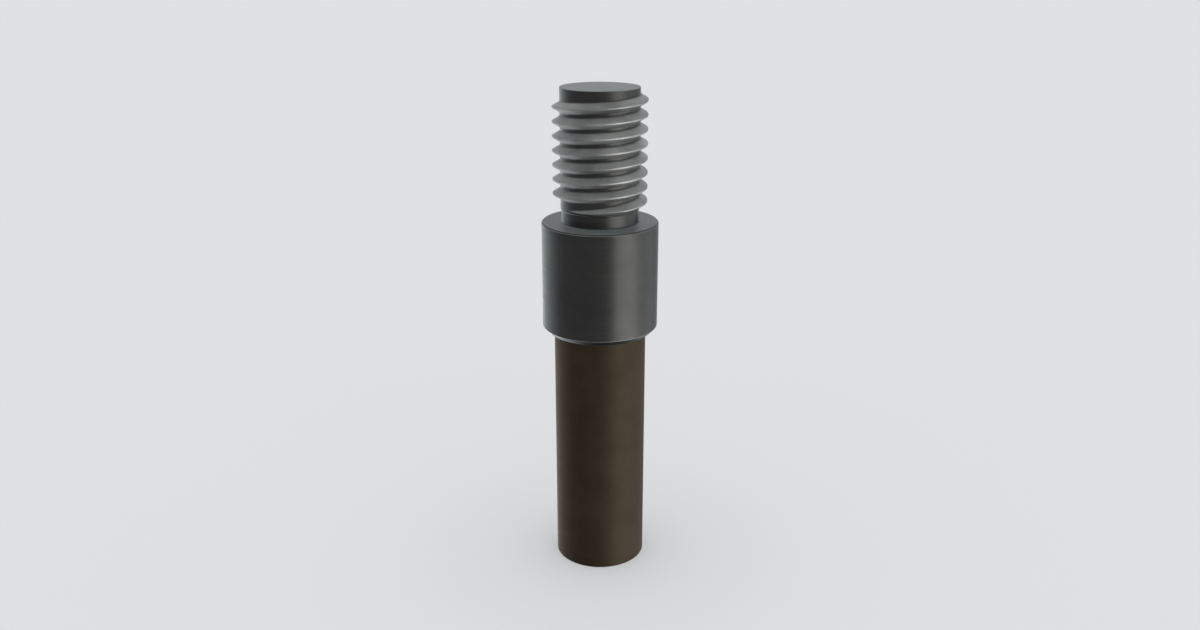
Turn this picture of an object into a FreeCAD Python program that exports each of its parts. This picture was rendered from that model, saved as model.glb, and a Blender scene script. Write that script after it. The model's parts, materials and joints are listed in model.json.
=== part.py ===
import FreeCAD, Part
import math
import os

# A bolt turned from one bar of steel: a plain shank, a round collar above it, and a
# short threaded stud on the collar. It stands on the flat end of its shank.
# Millimetres and degrees. The bolt's axis is Z, and the origin is the centre of the
# shank's end face.

# Shank and collar
shank_diameter = 10.0
shank_length = 27.3
shoulder_width = 1.25
collar_height = 12.15
collar_lower_chamfer = 0.6
collar_upper_chamfer = 0.15

# Threaded stud: a right-hand metric coarse thread
thread_diameter = 10.0
thread_pitch = 1.5
thread_angle = 60.0
stud_length = 14.05

# Relief between the collar and the thread, and the plain pilot above the thread
relief_width = 1.4
relief_depth = 0.09
thread_to_relief = 0.07
pilot_length = 0.5

# The ridge climbs out of the core over the run-in and sinks back over the run-out
thread_start_angle = -135.0
run_in_angle = 80.0
run_out_angle = 80.0

# The basic metric profile: a sharp triangle with an eighth of its pitch cut flat at
# the crest and a quarter left flat at the root
crest_flat = thread_pitch / 8
root_flat = thread_pitch / 4
flank_slope = math.tan(math.radians(thread_angle / 2))
thread_depth = (thread_pitch - crest_flat - root_flat) / 2 / flank_slope

# Radii
shank_radius = shank_diameter / 2
collar_radius = shank_radius + shoulder_width
crest_radius = thread_diameter / 2
core_radius = crest_radius - thread_depth
relief_radius = core_radius - relief_depth

# Heights
collar_bottom = shank_length
collar_top = collar_bottom + collar_height
relief_top = collar_top + relief_width
stud_top = collar_top + stud_length

# Where the ridge starts and ends, from what its full section has to clear
root_half_width = (thread_pitch - root_flat) / 2
run_in_rise = thread_pitch * run_in_angle / 360
run_out_rise = thread_pitch * run_out_angle / 360
ridge_start = relief_top + thread_to_relief + root_half_width - run_in_rise
ridge_end = stud_top - pilot_length - root_half_width + run_out_rise
ridge_angle = 360 * (ridge_end - ridge_start) / thread_pitch

# The ridge is made a little too high and too deep, then cut to the crest and joined
# to the core
ridge_overshoot = thread_depth / 10
ridge_root_depth = thread_depth / 3
ridge_height = thread_depth + ridge_overshoot
ridge_top_half_width = crest_flat / 2 - ridge_overshoot * flank_slope
ridge_end_depth = thread_depth / 8

# Angle between the sections that each curve of the ridge passes through
section_spacing = 15.0


def turned_blank():
    """Revolves the bolt's half profile, without the thread's ridge, about Z."""
    profile = [
        (0, 0),
        (shank_radius, 0),
        (shank_radius, collar_bottom),
        (collar_radius - collar_lower_chamfer, collar_bottom),
        (collar_radius, collar_bottom + collar_lower_chamfer),
        (collar_radius, collar_top - collar_upper_chamfer),
        (collar_radius - collar_upper_chamfer, collar_top),
        (relief_radius, collar_top),
        (relief_radius, relief_top - relief_depth),
        (core_radius, relief_top),
        (core_radius, stud_top),
        (0, stud_top),
        (0, 0),
    ]
    outline = Part.makePolygon([FreeCAD.Vector(r, 0, z) for r, z in profile])
    turned = Part.Face(outline).revolve(FreeCAD.Vector(0, 0, 0), FreeCAD.Vector(0, 0, 1), 360)
    return turned


def ridge_top_height(angle):
    """Height of the ridge's top over the core, the angle counted from its start."""
    climb = ridge_height * angle / run_in_angle
    descent = ridge_height * (ridge_angle - angle) / run_out_angle
    return min(climb, ridge_height, descent)


def ridge_point(angle, radius, off_middle):
    """A point of the ridge's section at this angle, so far above the crest's middle line."""
    turn = math.radians(thread_start_angle + angle)
    height = ridge_start + thread_pitch * angle / 360 + off_middle
    return FreeCAD.Vector(radius * math.cos(turn), radius * math.sin(turn), height)


def ridge_section(angle):
    """The four corners of the ridge's section, from its lower root round to its upper."""
    top_radius = core_radius + ridge_top_height(angle)
    root_radius = core_radius - ridge_root_depth
    root_half = ridge_top_half_width + (top_radius - root_radius) * flank_slope
    return [
        ridge_point(angle, root_radius, -root_half),
        ridge_point(angle, top_radius, -ridge_top_half_width),
        ridge_point(angle, top_radius, ridge_top_half_width),
        ridge_point(angle, root_radius, root_half),
    ]


def ridge_span(first, last):
    """The four long faces of the ridge between two angles."""
    count = max(4, math.ceil((last - first) / section_spacing))
    angles = [first + (last - first) * step / count for step in range(count + 1)]
    sections = [ridge_section(angle) for angle in angles]
    edges = []
    for corner in range(4):
        curve = Part.BSplineCurve()
        curve.interpolate(Points=[section[corner] for section in sections], Parameters=angles)
        edges.append(curve.toShape())
    return [Part.makeRuledSurface(edges[corner], edges[(corner + 1) % 4]) for corner in range(4)]


def ridge_end_cap(angle):
    """The flat face that closes the ridge at one of its buried ends."""
    corners = ridge_section(angle)
    return Part.Face(Part.makePolygon(corners + corners[:1]))


def ridge_breaks():
    """Angles where one length of the ridge meets the next: its two buried ends, the ends
    of its full part, and each turn between them."""
    buried = ridge_end_depth / ridge_height
    full_from = run_in_angle
    full_to = ridge_angle - run_out_angle
    turns = math.ceil((full_to - full_from) / 360)
    full = [full_from + (full_to - full_from) * turn / turns for turn in range(turns + 1)]
    return [-buried * run_in_angle] + full + [ridge_angle + buried * run_out_angle]


def thread_ridge():
    """The whole helical ridge, cut to the thread's crest."""
    breaks = ridge_breaks()
    faces = [ridge_end_cap(breaks[0]), ridge_end_cap(breaks[-1])]
    for first, last in zip(breaks, breaks[1:]):
        faces += ridge_span(first, last)
    shell = Part.makeShell(faces)
    shell.sewShape()
    ridge = Part.makeSolid(shell)
    if ridge.Volume < 0:
        ridge.reverse()
    envelope = Part.makeCylinder(crest_radius, stud_length, FreeCAD.Vector(0, 0, collar_top))
    return ridge.common(envelope)


def threaded_bolt():
    """The turned blank with the thread's ridge on its stud."""
    return turned_blank().fuse(thread_ridge())


os.makedirs("parts", exist_ok=True)
bolt = threaded_bolt().Solids[0]
bolt.exportStep("parts/threaded_bolt.step")
print("volume", round(bolt.Volume, 3), "mm3, valid", bolt.isValid())
print("box", bolt.BoundBox)
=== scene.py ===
import json
import math

import bpy
import numpy as np
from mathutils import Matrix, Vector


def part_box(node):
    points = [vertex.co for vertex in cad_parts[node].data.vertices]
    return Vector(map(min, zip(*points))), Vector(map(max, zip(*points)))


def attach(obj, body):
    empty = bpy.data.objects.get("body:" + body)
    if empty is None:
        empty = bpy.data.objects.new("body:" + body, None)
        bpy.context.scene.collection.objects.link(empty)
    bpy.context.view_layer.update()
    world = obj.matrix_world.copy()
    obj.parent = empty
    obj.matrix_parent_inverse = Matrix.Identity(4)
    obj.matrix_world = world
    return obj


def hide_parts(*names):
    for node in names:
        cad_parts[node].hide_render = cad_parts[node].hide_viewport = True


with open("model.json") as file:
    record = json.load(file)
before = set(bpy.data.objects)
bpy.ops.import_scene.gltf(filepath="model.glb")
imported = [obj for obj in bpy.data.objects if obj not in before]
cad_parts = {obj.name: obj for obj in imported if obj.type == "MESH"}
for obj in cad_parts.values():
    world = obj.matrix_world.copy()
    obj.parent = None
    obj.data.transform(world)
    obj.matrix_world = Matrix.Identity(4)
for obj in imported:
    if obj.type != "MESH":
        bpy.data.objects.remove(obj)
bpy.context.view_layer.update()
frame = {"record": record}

# The bolt's looks: one closed skin over the turned body and its thread, blackened on
# the collar and stud and browned on the shank. Metres; the bolt's axis is Z.

MM = 0.001

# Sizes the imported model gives
mounts = {mount["name"]: mount for mount in frame["record"]["mounts"]}
low_corner, high_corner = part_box("threaded_bolt")
shank_radius = mounts["shank"]["dims"]["r_mm"] * MM
crest_radius = mounts["thread"]["dims"]["r_mm"] * MM
collar_radius = high_corner.x
shank_foot = low_corner.z
collar_bottom = shank_foot + mounts["shank"]["dims"]["length_mm"] * MM
collar_top = mounts["collar_face"]["pos_m"][2]
stud_top = high_corner.z

# Sizes of the collar's chamfers, the relief, the pilot and the thread, as on the solid
lower_chamfer = 0.6 * MM
upper_chamfer = 0.15 * MM
relief_width = 1.4 * MM
relief_depth = 0.09 * MM
thread_to_relief = 0.07 * MM
pilot_length = 0.5 * MM
pitch = 1.5 * MM
start_angle = math.radians(-135.0)
run_in_turn = 80.0 / 360
run_out_turn = 80.0 / 360
flank_slope = math.tan(math.radians(30.0))

# The metric profile: an eighth of the pitch flat at the crest, a quarter at the root
crest_flat = pitch / 8
root_flat = pitch / 4
thread_depth = (pitch - crest_flat - root_flat) / 2 / flank_slope
core_radius = crest_radius - thread_depth
relief_radius = core_radius - relief_depth
relief_top = collar_top + relief_width

# The ridge on the core, which would stand a little over the crest if it weren't cut
ridge_overshoot = thread_depth / 10
ridge_height = thread_depth + ridge_overshoot
ridge_top_half = crest_flat / 2 - ridge_overshoot * flank_slope
root_half = (pitch - root_flat) / 2
ridge_start = relief_top + thread_to_relief + root_half - pitch * run_in_turn
ridge_end = stud_top - pilot_length - root_half + pitch * run_out_turn
ridge_turns = (ridge_end - ridge_start) / pitch

# Broken edges and tool radii that the plain solid leaves sharp
edge_round = 0.07 * MM
inner_round = 0.12 * MM
chamfer_round = 0.05 * MM
relief_round = relief_depth / 3
crest_round = 0.06 * MM
crest_side_round = crest_round / 2
root_round = 0.14 * MM

# The level circles that the thread's part of the skin runs between, and how near to
# them a point of the thread takes the circle's own point instead
thread_bottom = relief_top + thread_to_relief / 4
thread_bottom_round = thread_to_relief / 10
thread_top = stud_top - edge_round * 3
row_snap = 0.015 * MM

# Over this height above the lower circle the ridge fades in
fade_height = thread_to_relief / 2

# From this height over the core up, the thread is as pale as its rubbed crest: wear at the crest, painted
# light on the flanks against their shade
painted_pale_height = thread_depth / 7

# Fineness of the skin: its columns round the axis, and the steps of a rounded corner
columns = 180
arc_steps = np.linspace(0.0, 1.0, 6)

# Rows of the thread's skin from the crest's middle to the root's middle: how far each
# lies across the crest's flat, the flank and the root's flat
crest_share = np.array([0.0, 0.6, 0.88])
flank_share = np.array([0.0, 0.04, 0.12, 0.35, 0.65, 0.88, 0.96, 1.0])
root_share = np.array([0.06, 0.2, 0.55, 1.0])

# Where the ridge is lower than this, its rows stay spread as they are at this height
lowest_spread = ridge_height / 6

# The turned finish: noise cycles a metre of the rings and bands, across the tool's
# travel and along it, and of the patches and the grain, alike each way
ring_scale = (30, 30, 4200)
band_scale = (60, 60, 1300)
patch_scale = 260.0
grain_scale = 5200.0

# How much rings and bands count in the colour beside the patches, and from which sum
# of the three to which the colour goes from dark to light
ring_tint = 0.35
band_tint = 0.2
dark_until = 0.5
light_from = 1.0

# How much the rings swing the roughness each way as their noise goes from low to high,
# and how much rubbing, and the painted paling of the thread's flanks, add to it
roughness_swing = 0.05
ring_low = 0.25
ring_high = 0.75
rubbed_and_paled_roughness = 0.25

# The relief of the rings, and how much the grain counts in it
bump_strength = 0.5
bump_depth = 0.008 * MM
grain_relief = 0.35

# The floor: half its side, the cells along a side, how far it lies under the foot,
# and the noise cycles a metre of its tone
floor_reach = 9.0
floor_cells = 12
floor_gap = 0.01 * MM
floor_mottle = 30.0

# The camera: in front of the bolt's axis and above its foot, turned up from straight
# down, with its sensor and lens in millimetres
camera_back = 108.925 * MM
camera_height = 66.305 * MM
camera_turn = math.radians(70.9925)
sensor_width = 36.0
focal_length = 31.4514


def rounded_profile(corners, rounding):
    """Points of a half profile with its corners eased. Between the points that lie one
    rounding from a corner P along its two sides, A and B, the line follows the parabola
    (1-s)^2 A + 2 s (1-s) P + s^2 B. One more point stands a rounding further along each
    side, to keep the wide faces flat. Returns the points and how sharp each outer edge is:
    the sine of its turn, times 4 s (1-s) along its parabola."""
    corner = np.array(corners[1:-1])
    before = np.array(corners[:-2]) - corner
    after = np.array(corners[2:]) - corner
    before_unit = before / np.linalg.norm(before, axis=1, keepdims=True)
    after_unit = after / np.linalg.norm(after, axis=1, keepdims=True)
    reach = np.array(rounding)[:, None]
    first = (corner + before_unit * reach)[:, None, :]
    last = (corner + after_unit * reach)[:, None, :]
    middle = corner[:, None, :]
    s = arc_steps[None, :, None]
    arc = (1 - s) ** 2 * first + 2 * s * (1 - s) * middle + s**2 * last
    lead = (corner + before_unit * reach * 2)[:, None, :]
    tail = (corner + after_unit * reach * 2)[:, None, :]
    points = np.concatenate([lead, arc, tail], axis=1).reshape(-1, 2)
    turn = before_unit[:, 0] * after_unit[:, 1] - before_unit[:, 1] * after_unit[:, 0]
    swell = np.concatenate([[0], 4 * arc_steps * (1 - arc_steps), [0]])
    sharp = np.clip(-turn, 0, 1)[:, None] * swell
    ends = np.array([corners[0], corners[-1]])
    points = np.vstack([ends[:1], points, ends[1:]])
    return points, np.concatenate([[0], sharp.ravel(), [0]])


def turned_rings():
    """The turned faces as level circles, each one point of the half profile, radius then
    height. Returns the circles from the foot's centre up to the thread, those from the
    thread up to the top's centre, and the wear of each in turn."""
    lower = [
        (0, shank_foot),
        (shank_radius, shank_foot),
        (shank_radius, collar_bottom),
        (collar_radius - lower_chamfer, collar_bottom),
        (collar_radius, collar_bottom + lower_chamfer),
        (collar_radius, collar_top - upper_chamfer),
        (collar_radius - upper_chamfer, collar_top),
        (relief_radius, collar_top),
        (relief_radius, relief_top - relief_depth),
        (core_radius, relief_top),
        (core_radius, thread_bottom),
    ]
    lower_rounding = [
        edge_round,
        inner_round,
        chamfer_round,
        chamfer_round,
        chamfer_round,
        chamfer_round,
        inner_round,
        relief_round,
        thread_bottom_round,
    ]
    upper = [(core_radius, thread_top), (core_radius, stud_top), (0, stud_top)]
    below, below_wear = rounded_profile(lower, lower_rounding)
    above, above_wear = rounded_profile(upper, [edge_round])
    return below, above, np.concatenate([below_wear, above_wear])


def ease_up(a, b, width):
    """The higher of a and b. Where they differ by less than the width, it rises over them
    by (width - |a - b|)^2 / (4 width), so that the line has no corner."""
    near = np.clip(width - np.abs(a - b), 0, None)
    return np.maximum(a, b) + near**2 / (4 * width)


def ease_down(a, b, width):
    """The lower of a and b, with the same easing turned over."""
    return -ease_up(-a, -b, width)


def thread_rows():
    """The skin of the stud between relief and top as a grid that winds with the thread.
    A column stands at each angle. Its rows are counted in turns of the helix, and the
    row at turn t keeps the height ridge_start + pitch t + d. Here d runs from half a pitch
    under the crest's middle to half a pitch over it, close together at the crest's and
    root's edges. The radius is the core's plus the ridge's height: the top height h of
    the ridge, less (|d| - half the top's width) / slope, eased into crest and root. The
    height h climbs with t over the run-in and falls over the run-out. Returns radii,
    heights, wear with painted light and the number of rows in a turn: the crest's
    paleness is wear, the flanks' paleness is painted light against their shade."""
    in_crest = np.concatenate([crest_share, np.ones(len(flank_share) + len(root_share))])
    in_flank = np.concatenate([np.zeros(len(crest_share)), flank_share, np.ones(len(root_share))])
    in_root = np.concatenate([np.zeros(len(crest_share) + len(flank_share)), root_share])
    half = len(in_crest)
    place = np.arange(1 - half, half - 1)
    per_turn = len(place)

    lowest = math.floor((relief_top - ridge_start) / pitch) - 2
    highest = math.ceil((stud_top - ridge_start) / pitch) + 1
    turns = np.arange(lowest, highest + 1)
    turn = np.repeat(turns, per_turn)[:, None] + np.arange(columns)[None, :] / columns
    row = np.tile(np.abs(place), len(turns))
    side = np.tile(np.sign(place), len(turns))[:, None]

    climb = ridge_height * turn / run_in_turn
    descent = ridge_height * (ridge_turns - turn) / run_out_turn
    top = np.clip(np.minimum(climb, descent), -ridge_height, ridge_height)
    spread = np.clip(top, lowest_spread, None)
    crest_edge = ridge_top_half + np.clip(spread - thread_depth, 0, None) * flank_slope
    root_edge = ridge_top_half + spread * flank_slope
    off = (
        in_crest[row][:, None] * crest_edge
        + in_flank[row][:, None] * (root_edge - crest_edge)
        + in_root[row][:, None] * (pitch / 2 - root_edge)
    )
    height = ridge_start + pitch * turn + side * off

    beside = ease_up(off - ridge_top_half, 0, crest_side_round)
    ridge = ease_down(top - beside / flank_slope, thread_depth, crest_round)
    ridge = ease_up(ridge, 0, root_round)
    ridge = ridge * np.clip((height - thread_bottom) / fade_height, 0, 1)
    # Wear at the crest, and painted light on the flanks: they are paled like the crest to lighten them
    # against their shade
    wear_and_painted_light = np.clip(ridge / painted_pale_height, 0, 1)
    return core_radius + ridge, height, wear_and_painted_light, per_turn


def skin_rows(rings_below, ring_count, helix_height, per_turn):
    """The numbers of the skin's points in rows, from the foot's centre to the top's. A
    level circle ends on its own first point, and the first and last circle are one point
    each. A row of the thread ends on the first point of the row a whole turn higher, and
    where it runs past the level circle at either end it takes that circle's points."""
    number = np.arange(ring_count + len(helix_height))[:, None] * columns + np.arange(columns)
    ring = number[:ring_count]
    ring[0] = ring[0, 0]
    ring[-1] = ring[-1, 0]
    ring = np.hstack([ring, ring[:, :1]])
    foot_rows, head_rows = ring[:rings_below], ring[rings_below:]

    helix = number[ring_count:]
    helix = np.hstack([helix[:-per_turn], helix[per_turn:, :1]])
    height = np.hstack([helix_height[:-per_turn], helix_height[per_turn:, :1]])
    helix = np.where(height <= thread_bottom + row_snap, foot_rows[-1], helix)
    helix = np.where(height >= thread_top - row_snap, head_rows[0], helix)
    return np.vstack([foot_rows, helix, head_rows])


def grid_triangles(number):
    """Two triangles for each cell of a grid of point numbers, without those that have
    two corners on one point."""
    a, b = number[:-1, :-1].ravel(), number[:-1, 1:].ravel()
    c, d = number[1:, 1:].ravel(), number[1:, :-1].ravel()
    faces = np.vstack([np.stack([a, b, c], 1), np.stack([a, c, d], 1)])
    apart = faces != np.roll(faces, 1, axis=1)
    return faces[apart.all(axis=1)]


def skin():
    """The whole skin. Rows of points run from the foot's centre up to the top's centre,
    and column j stands at the angle start + 2 pi j / columns. Under and over the thread a
    row is a level circle, and in the thread it is a line along the helix. A point is
    (r cos angle, r sin angle, z) for its row's radius and height there. Returns the
    points, the triangles and each point's wear, with the painted light on the thread's flanks."""
    below, above, ring_wear = turned_rings()
    helix_radius, helix_height, helix_wear_and_painted_light, per_turn = thread_rows()
    rings = np.vstack([below, above])
    angle = start_angle + 2 * math.pi * np.arange(columns) / columns
    radius = np.vstack([np.repeat(rings[:, :1], columns, axis=1), helix_radius])
    height = np.vstack([np.repeat(rings[:, 1:], columns, axis=1), helix_height])
    wear_and_painted_light = np.vstack([np.repeat(ring_wear[:, None], columns, axis=1), helix_wear_and_painted_light])
    points = np.stack([radius * np.cos(angle), radius * np.sin(angle), height], axis=2)
    faces = grid_triangles(skin_rows(len(below), len(rings), helix_height, per_turn))
    used, faces = np.unique(faces.ravel(), return_inverse=True)
    return points.reshape(-1, 3)[used], faces.reshape(-1, 3), wear_and_painted_light.ravel()[used]


def node(tree, kind, **settings):
    """A shader node with its settings."""
    made = tree.nodes.new(kind)
    for name, value in settings.items():
        setattr(made, name, value)
    return made


def noise(tree, place, scale, detail):
    """Noise read at a place, as fine each way."""
    made = node(tree, "ShaderNodeTexNoise")
    made.inputs["Scale"].default_value = scale
    made.inputs["Detail"].default_value = detail
    tree.links.new(place, made.inputs["Vector"])
    return made


def stretched_noise(tree, place, scale, detail):
    """Noise read at a place, with a scale of its own each way."""
    stretch = node(tree, "ShaderNodeMapping")
    stretch.inputs["Scale"].default_value = scale
    tree.links.new(place, stretch.inputs["Vector"])
    return noise(tree, stretch.outputs["Vector"], scale=1.0, detail=detail)


def times_plus(tree, value, factor, more):
    """The value times a plain factor, plus another value."""
    made = node(tree, "ShaderNodeMath", operation="MULTIPLY_ADD")
    tree.links.new(value, made.inputs[0])
    made.inputs[1].default_value = factor
    tree.links.new(more, made.inputs[2])
    return made.outputs[0]


def tool_travel(tree, place):
    """A place as (x, y, z + distance from the axis). The last of these grows as the tool
    travels, along a wall and across a flat end alike, so noise that is fine in it and
    coarse in the others makes rings round the axis."""
    parts = node(tree, "ShaderNodeSeparateXYZ")
    tree.links.new(place, parts.inputs[0])
    level = node(tree, "ShaderNodeVectorMath", operation="MULTIPLY")
    tree.links.new(place, level.inputs[0])
    level.inputs[1].default_value = (1, 1, 0)
    axis_distance = node(tree, "ShaderNodeVectorMath", operation="LENGTH")
    tree.links.new(level.outputs[0], axis_distance.inputs[0])
    along = node(tree, "ShaderNodeMath", operation="ADD")
    tree.links.new(parts.outputs["Z"], along.inputs[0])
    tree.links.new(axis_distance.outputs["Value"], along.inputs[1])
    travel = node(tree, "ShaderNodeCombineXYZ")
    tree.links.new(parts.outputs["X"], travel.inputs["X"])
    tree.links.new(parts.outputs["Y"], travel.inputs["Y"])
    tree.links.new(along.outputs[0], travel.inputs["Z"])
    return travel.outputs[0]


def turned_steel(name, dark, light, bare, roughness, metal, gloss_level, grazing):
    """Finish of a turned and coloured steel surface, read from the piece's own points. Fine
    rings run round the axis on the walls and on the flat ends, the colour drifts between
    dark and light in soft patches, and what is rubbed goes towards bare metal, as do the
    thread's flanks, paled as painted light against their shade. The rings
    swing the roughness a little, and with a fine grain they make the relief."""
    material = bpy.data.materials.new(name)
    material.use_nodes = True
    tree = material.node_tree
    link = tree.links.new
    shader = tree.nodes["Principled BSDF"]
    shader.inputs["Metallic"].default_value = metal
    shader.inputs["Specular Tint"].default_value = (*grazing, 1)
    shader.inputs["Specular IOR Level"].default_value = gloss_level

    place = node(tree, "ShaderNodeTexCoord").outputs["Object"]
    travel = tool_travel(tree, place)
    rings = stretched_noise(tree, travel, ring_scale, detail=3.0).outputs["Fac"]
    bands = stretched_noise(tree, travel, band_scale, detail=2.0).outputs["Fac"]
    soft = noise(tree, place, patch_scale, detail=5.0)
    soft.inputs["Roughness"].default_value = 0.6
    patches = soft.outputs["Fac"]
    grain = noise(tree, place, grain_scale, detail=2.0).outputs["Fac"]

    streaks = times_plus(tree, rings, ring_tint, patches)
    tint = node(tree, "ShaderNodeValToRGB")
    tint.color_ramp.elements[0].position = dark_until
    tint.color_ramp.elements[0].color = (*dark, 1)
    tint.color_ramp.elements[1].position = light_from
    tint.color_ramp.elements[1].color = (*light, 1)
    link(times_plus(tree, bands, band_tint, streaks), tint.inputs["Fac"])

    # How far the colour goes towards bare metal: wear on edges and crests, painted light on the thread's
    # flanks
    wear_and_painted_light = node(tree, "ShaderNodeAttribute", attribute_name="rubbed_and_painted_pale")
    rubbed_and_paled = node(tree, "ShaderNodeMath", operation="MULTIPLY")
    link(wear_and_painted_light.outputs["Fac"], rubbed_and_paled.inputs[0])
    link(patches, rubbed_and_paled.inputs[1])
    colour = node(tree, "ShaderNodeMix", data_type="RGBA")
    link(rubbed_and_paled.outputs[0], colour.inputs["Factor"])
    link(tint.outputs["Color"], colour.inputs["A"])
    colour.inputs["B"].default_value = (*bare, 1)
    link(colour.outputs["Result"], shader.inputs["Base Color"])

    gloss = node(tree, "ShaderNodeMapRange")
    link(rings, gloss.inputs["Value"])
    gloss.inputs["From Min"].default_value = ring_low
    gloss.inputs["From Max"].default_value = ring_high
    gloss.inputs["To Min"].default_value = roughness - roughness_swing
    gloss.inputs["To Max"].default_value = roughness + roughness_swing
    dulled = times_plus(tree, rubbed_and_paled.outputs[0], rubbed_and_paled_roughness, gloss.outputs["Result"])
    link(dulled, shader.inputs["Roughness"])

    bump = node(tree, "ShaderNodeBump")
    bump.inputs["Strength"].default_value = bump_strength
    bump.inputs["Distance"].default_value = bump_depth
    link(times_plus(tree, grain, grain_relief, rings), bump.inputs["Height"])
    link(bump.outputs["Normal"], shader.inputs["Normal"])
    return material


def blackened_steel():
    """The collar's and the stud's finish: dark grey, half glossy, pale where it is rubbed, and pale over
    the thread's flanks as painted light.
    """
    return turned_steel(
        "blackened_steel",
        dark=(0.0188, 0.0191, 0.0177),
        light=(0.0263, 0.0266, 0.0252),
        bare=(0.33, 0.335, 0.33),
        roughness=0.36,
        metal=0.8,
        gloss_level=0.5,
        grazing=(0.74, 0.775, 0.785),
    )


def browned_steel():
    """The shank's finish: dark brown, duller, a lighter brown where it is rubbed."""
    return turned_steel(
        "browned_steel",
        dark=(0.0185, 0.0126, 0.0074),
        light=(0.0265, 0.0195, 0.0133),
        bare=(0.16, 0.12, 0.09),
        roughness=0.53,
        metal=0.38,
        gloss_level=0.09,
        grazing=(0.70, 0.62, 0.52),
    )


def dressed_bolt():
    """The bolt's skin as one mesh: browned over the shank and its foot, blackened above."""
    points, faces, wear_and_painted_light = skin()
    mesh = bpy.data.meshes.new("bolt_skin")
    mesh.from_pydata(points, [], faces)
    mesh.polygons.foreach_set("use_smooth", np.ones(len(faces), bool))
    # Wear on edges and crests, and painted light that pales the thread's flanks against their shade
    rubbed_and_paled = mesh.attributes.new("rubbed_and_painted_pale", "FLOAT", "POINT")
    rubbed_and_paled.data.foreach_set("value", wear_and_painted_light.astype(np.float32))
    mesh.materials.append(blackened_steel())
    mesh.materials.append(browned_steel())
    middle = points[faces].mean(axis=1)
    axis_distance = np.hypot(middle[:, 0], middle[:, 1])
    on_shank = (middle[:, 2] < collar_bottom) & (axis_distance <= shank_radius)
    mesh.polygons.foreach_set("material_index", on_shank.astype(np.int32))
    mesh.validate()
    mesh.update()
    bolt = bpy.data.objects.new("bolt_skin", mesh)
    bpy.context.scene.collection.objects.link(bolt)
    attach(bolt, "root")
    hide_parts("threaded_bolt")


def pale_floor():
    """A wide level grid of cells just under the foot, faintly uneven in tone."""
    line = np.linspace(-floor_reach, floor_reach, floor_cells + 1)
    x, y = np.meshgrid(line, line)
    points = np.stack([x.ravel(), y.ravel(), np.full(x.size, shank_foot - floor_gap)], axis=1)
    number = np.arange(x.size).reshape(x.shape)
    faces = np.stack([number[:-1, :-1], number[:-1, 1:], number[1:, 1:], number[1:, :-1]], axis=2)
    mesh = bpy.data.meshes.new("floor")
    mesh.from_pydata(points, [], faces.reshape(-1, 4))
    material = bpy.data.materials.new("pale_floor")
    material.use_nodes = True
    tree = material.node_tree
    shader = tree.nodes["Principled BSDF"]
    shader.inputs["Roughness"].default_value = 0.95
    shader.inputs["Specular IOR Level"].default_value = 0.0
    place = node(tree, "ShaderNodeTexCoord")
    mottle = noise(tree, place.outputs["Object"], floor_mottle, detail=2.0)
    tint = node(tree, "ShaderNodeValToRGB")
    tint.color_ramp.elements[0].color = (0.721, 0.725, 0.729, 1)
    tint.color_ramp.elements[1].color = (0.727, 0.731, 0.735, 1)
    tree.links.new(mottle.outputs["Fac"], tint.inputs["Fac"])
    tree.links.new(tint.outputs["Color"], shader.inputs["Base Color"])
    mesh.materials.append(material)
    floor = bpy.data.objects.new("floor", mesh)
    bpy.context.scene.collection.objects.link(floor)


def soft_sun(name, azimuth, elevation, strength, spread, colour):
    """A soft lamp far away that casts no shadow, in reflections too, so that one under the
    horizon lights the walls through the floor. Its angles are in degrees, and azimuth is
    counted from the camera's side, to the right."""
    lamp = bpy.data.lights.new(name, "SUN")
    lamp.energy = strength
    lamp.angle = math.radians(spread)
    lamp.color = colour
    lamp.use_shadow = False
    lamp.cycles.use_multiple_importance_sampling = False
    holder = bpy.data.objects.new(name, lamp)
    holder.rotation_euler = (math.radians(90 - elevation), 0, math.radians(azimuth))
    bpy.context.scene.collection.objects.link(holder)


def studio():
    """Even pale light from all round. Three soft lamps draw the bands down the round walls,
    and one from behind and above lights the flat tops."""
    world = bpy.data.worlds.new("studio")
    world.use_nodes = True
    bpy.context.scene.world = world
    background = world.node_tree.nodes["Background"]
    background.inputs["Color"].default_value = (0.745, 0.753, 0.760, 1)
    background.inputs["Strength"].default_value = 1.0
    soft_sun("band_lamp", azimuth=54, elevation=-24, strength=3.05, spread=50, colour=(1, 0.99, 0.97))
    soft_sun("left_rim_lamp", azimuth=-134, elevation=-26, strength=1.45, spread=70, colour=(0.97, 0.99, 1))
    soft_sun("right_rim_lamp", azimuth=101, elevation=-26, strength=0.95, spread=50, colour=(0.99, 1, 1))
    soft_sun("overhead_lamp", azimuth=180, elevation=53, strength=1.1, spread=90, colour=(0.98, 0.99, 1))
    bpy.context.scene.view_settings.view_transform = "Standard"


def camera():
    """The camera at the photograph's angle: in front, a little above, looking down."""
    lens = bpy.data.cameras.new("camera")
    lens.sensor_width = sensor_width
    lens.lens = focal_length
    lens.clip_start = 0.01
    lens.clip_end = 30.0
    holder = bpy.data.objects.new("camera", lens)
    holder.location = (0, -camera_back, camera_height)
    holder.rotation_euler = (camera_turn, 0, 0)
    bpy.context.scene.collection.objects.link(holder)
    bpy.context.scene.camera = holder


camera()
studio()
pale_floor()
dressed_bolt()
